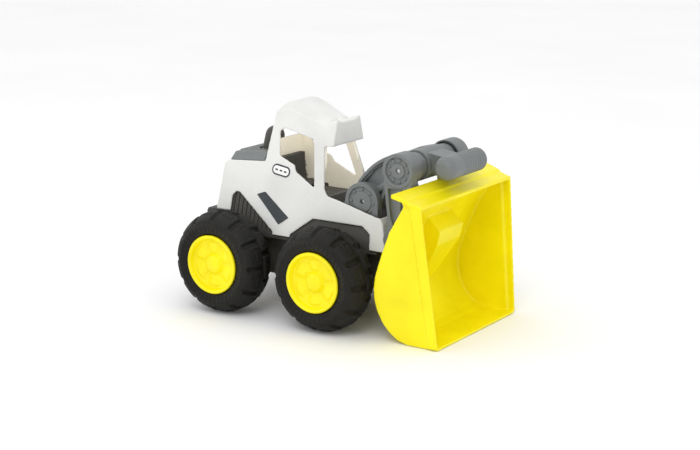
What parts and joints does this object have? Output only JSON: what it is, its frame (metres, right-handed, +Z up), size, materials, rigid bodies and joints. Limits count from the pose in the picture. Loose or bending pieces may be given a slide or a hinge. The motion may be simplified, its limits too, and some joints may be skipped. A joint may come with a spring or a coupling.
{
  "type": "toy front loader",
  "caption": "Toy front loader with a white cab body, chunky black wheels on yellow rims, grey arched boom and tee handle, and a wide yellow scoop.",
  "frame": {"origin": "on the ground, in the middle of the overall length and width", "axes": "+X forward towards the scoop, +Y to the loader's left, +Z up"},
  "size_m": [0.392, 0.256, 0.2752],
  "materials": {
    "white_plastic": "satin",
    "grey_plastic": "satin",
    "dark_plastic": "matte",
    "yellow_plastic": "gloss",
    "tyre_black": "matte",
    "slate_sticker": "matte",
    "steel": "brushed"
  },
  "bodies": {
    "frame": {"chassis": "dark_plastic", "body_shell": "white_plastic", "front_deck": "dark_plastic", "pivot_bracket_right": "grey_plastic", "pivot_bracket_left": "grey_plastic", "cab_seat": "dark_plastic", "cab_floor": "dark_plastic", "bonnet_vent": "grey_plastic", "air_stack": "dark_plastic", "side_stripe_right": "slate_sticker", "side_stripe_left": "slate_sticker", "side_badge_right": "slate_sticker", "side_badge_left": "slate_sticker", "rear_axle": "steel", "front_axle": "steel", "boom_pin": "steel", "chassis_screw_rear_left": "steel", "chassis_screw_rear_right": "steel", "chassis_screw_front_left": "steel", "chassis_screw_front_right": "steel"},
    "boom_body": {"boom": "grey_plastic", "elbow_pin": "steel"},
    "shovel": {"arm_cheek_right": "grey_plastic", "arm_cheek_left": "grey_plastic", "tee_handle": "grey_plastic", "scoop_mount": "grey_plastic", "scoop": "yellow_plastic"},
    "rear_left_wheel": {"rear_left_rim": "yellow_plastic", "rear_left_tyre": "tyre_black"},
    "rear_right_wheel": {"rear_right_rim": "yellow_plastic", "rear_right_tyre": "tyre_black"},
    "front_left_wheel": {"front_left_rim": "yellow_plastic", "front_left_tyre": "tyre_black"},
    "front_right_wheel": {"front_right_rim": "yellow_plastic", "front_right_tyre": "tyre_black"}
  },
  "joints": [
    {"name": "boom_lift", "type": "hinge", "parent": "frame", "child": "boom_body", "pos_m": [0.054, 0, 0.159], "axis": [0, -1, 0], "range_deg": [0, 50]},
    {"name": "shovel_tilt", "type": "hinge", "parent": "boom_body", "child": "shovel", "pos_m": [0.119, 0, 0.209], "axis": [0, -1, 0], "range_deg": [0, 60]},
    {"name": "rear_left_wheel_spin", "type": "hinge", "parent": "frame", "child": "rear_left_wheel", "pos_m": [-0.129, 0, 0.067], "axis": [0, 1, 0], "continuous": true},
    {"name": "rear_right_wheel_spin", "type": "hinge", "parent": "frame", "child": "rear_right_wheel", "pos_m": [-0.129, 0, 0.067], "axis": [0, 1, 0], "continuous": true},
    {"name": "front_left_wheel_spin", "type": "hinge", "parent": "frame", "child": "front_left_wheel", "pos_m": [0.03, 0, 0.067], "axis": [0, 1, 0], "continuous": true},
    {"name": "front_right_wheel_spin", "type": "hinge", "parent": "frame", "child": "front_right_wheel", "pos_m": [0.03, 0, 0.067], "axis": [0, 1, 0], "continuous": true}
  ]
}
